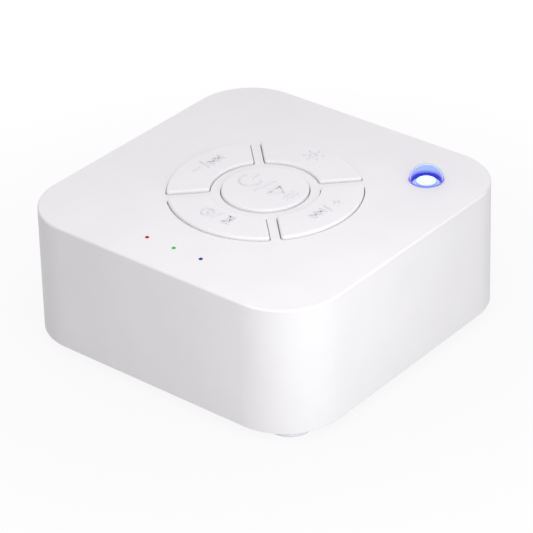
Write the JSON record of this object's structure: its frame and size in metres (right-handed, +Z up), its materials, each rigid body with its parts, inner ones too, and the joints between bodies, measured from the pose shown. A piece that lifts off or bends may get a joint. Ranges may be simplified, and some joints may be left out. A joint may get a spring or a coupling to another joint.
{
  "type": "white noise sound machine",
  "caption": "Square white tabletop sound machine with a round cluster of press keys, small indicator lights, a domed night light and a downward-firing speaker on rubber feet.",
  "frame": {"origin": "on the table under the middle of the case, at the height of the feet's soles", "axes": "+Z up; -Y towards the front, the side beside the indicator lights; +X to the right, seen from the front"},
  "size_m": [0.101, 0.101, 0.0441],
  "materials": {
    "case_plastic": "satin moulded ABS, very fine grain",
    "cover_plastic": "matt moulded ABS",
    "key_plastic": "satin moulded ABS",
    "foot_rubber": "soft white rubber",
    "screw_steel": "zinc plated",
    "guide_plastic": "natural moulded plastic",
    "holder_plastic": "white moulded spacer, lit lilac by the lamp",
    "board_laminate": "green solder mask over glass laminate",
    "switch_plastic": "black moulded nylon",
    "plunger_plastic": "dark moulded nylon",
    "socket_steel": "tin plated sheet",
    "jack_plastic": "black moulded nylon",
    "chip_plastic": "black moulding compound",
    "capacitor_can": "bright can",
    "connector_nylon": "natural nylon",
    "lens_clear": "clear moulded lens, polished",
    "lamp_epoxy": "clear epoxy lamp, lit blue-white",
    "pipe_red": "clear light pipe, lit red",
    "pipe_green": "clear light pipe, lit green",
    "pipe_blue": "clear light pipe, lit blue",
    "chip_lamp": "moulded chip lamp",
    "speaker_steel": "pressed steel, grey",
    "magnet_ferrite": "sintered ferrite",
    "cone_paper": "pressed black paper",
    "surround_rubber": "moulded rubber",
    "spider_cloth": "stiffened cloth",
    "coil_copper": "wound copper wire",
    "gasket_foam": "closed-cell foam",
    "terminal_laminate": "brown laminate",
    "cell_sleeve": "blue shrink sleeve",
    "lead_insulation": "red insulation"
  },
  "bodies": {
    "case": {"amplifier_chip": "chip_plastic", "battery_cell": "cell_sleeve", "battery_connector": "connector_nylon", "battery_foam_pad": "gasket_foam", "battery_leads": "lead_insulation", "blue_light_pipe": "pipe_blue", "board_screws": "screw_steel", "bottom_cover": "cover_plastic", "capacitors": "capacitor_can", "case_screws": "screw_steel", "foot_front_left": "foot_rubber", "foot_front_right": "foot_rubber", "foot_rear_left": "foot_rubber", "foot_rear_right": "foot_rubber", "green_light_pipe": "pipe_green", "headphone_jack": "jack_plastic", "indicator_leds": "chip_lamp", "key_guide": "guide_plastic", "key_guide_screws": "screw_steel", "main_board": "board_laminate", "micro_usb_socket": "socket_steel", "night_light_holder": "holder_plastic", "night_light_led": "lamp_epoxy", "night_light_lens": "lens_clear", "night_light_switch": "switch_plastic", "power_switch": "switch_plastic", "red_light_pipe": "pipe_red", "sound_chip": "chip_plastic", "speaker_cone": "cone_paper", "speaker_connector": "connector_nylon", "speaker_dust_cap": "cone_paper", "speaker_frame": "speaker_steel", "speaker_gasket": "gasket_foam", "speaker_leads": "lead_insulation", "speaker_magnet": "magnet_ferrite", "speaker_screws": "screw_steel", "speaker_spider": "spider_cloth", "speaker_surround": "surround_rubber", "speaker_terminal": "terminal_laminate", "speaker_top_plate": "speaker_steel", "speaker_yoke": "speaker_steel", "timer_switch": "switch_plastic", "upper_case": "case_plastic", "voice_coil": "coil_copper", "volume_down_switch": "switch_plastic", "volume_up_switch": "switch_plastic"},
    "power_key": {"power_button": "key_plastic", "power_plunger": "plunger_plastic"},
    "timer_key": {"timer_button": "key_plastic", "timer_plunger": "plunger_plastic"},
    "volume_up_key": {"volume_up_button": "key_plastic", "volume_up_plunger": "plunger_plastic"},
    "night_light_key": {"night_light_button": "key_plastic", "night_light_plunger": "plunger_plastic"},
    "volume_down_key": {"volume_down_button": "key_plastic", "volume_down_plunger": "plunger_plastic"}
  },
  "joints": [
    {"name": "power_press", "type": "slide", "parent": "case", "child": "power_key", "axis": [0, 0, -1], "range_m": [0, 0.0003], "stiffness_N_per_m": 5000, "springref_m": -0.0001},
    {"name": "timer_press", "type": "slide", "parent": "case", "child": "timer_key", "axis": [0, 0, -1], "range_m": [0, 0.0003], "stiffness_N_per_m": 5000, "springref_m": -0.0001},
    {"name": "volume_up_press", "type": "slide", "parent": "case", "child": "volume_up_key", "axis": [0, 0, -1], "range_m": [0, 0.0003], "stiffness_N_per_m": 5000, "springref_m": -0.0001},
    {"name": "night_light_press", "type": "slide", "parent": "case", "child": "night_light_key", "axis": [0, 0, -1], "range_m": [0, 0.0003], "stiffness_N_per_m": 5000, "springref_m": -0.0001},
    {"name": "volume_down_press", "type": "slide", "parent": "case", "child": "volume_down_key", "axis": [0, 0, -1], "range_m": [0, 0.0003], "stiffness_N_per_m": 5000, "springref_m": -0.0001}
  ]
}
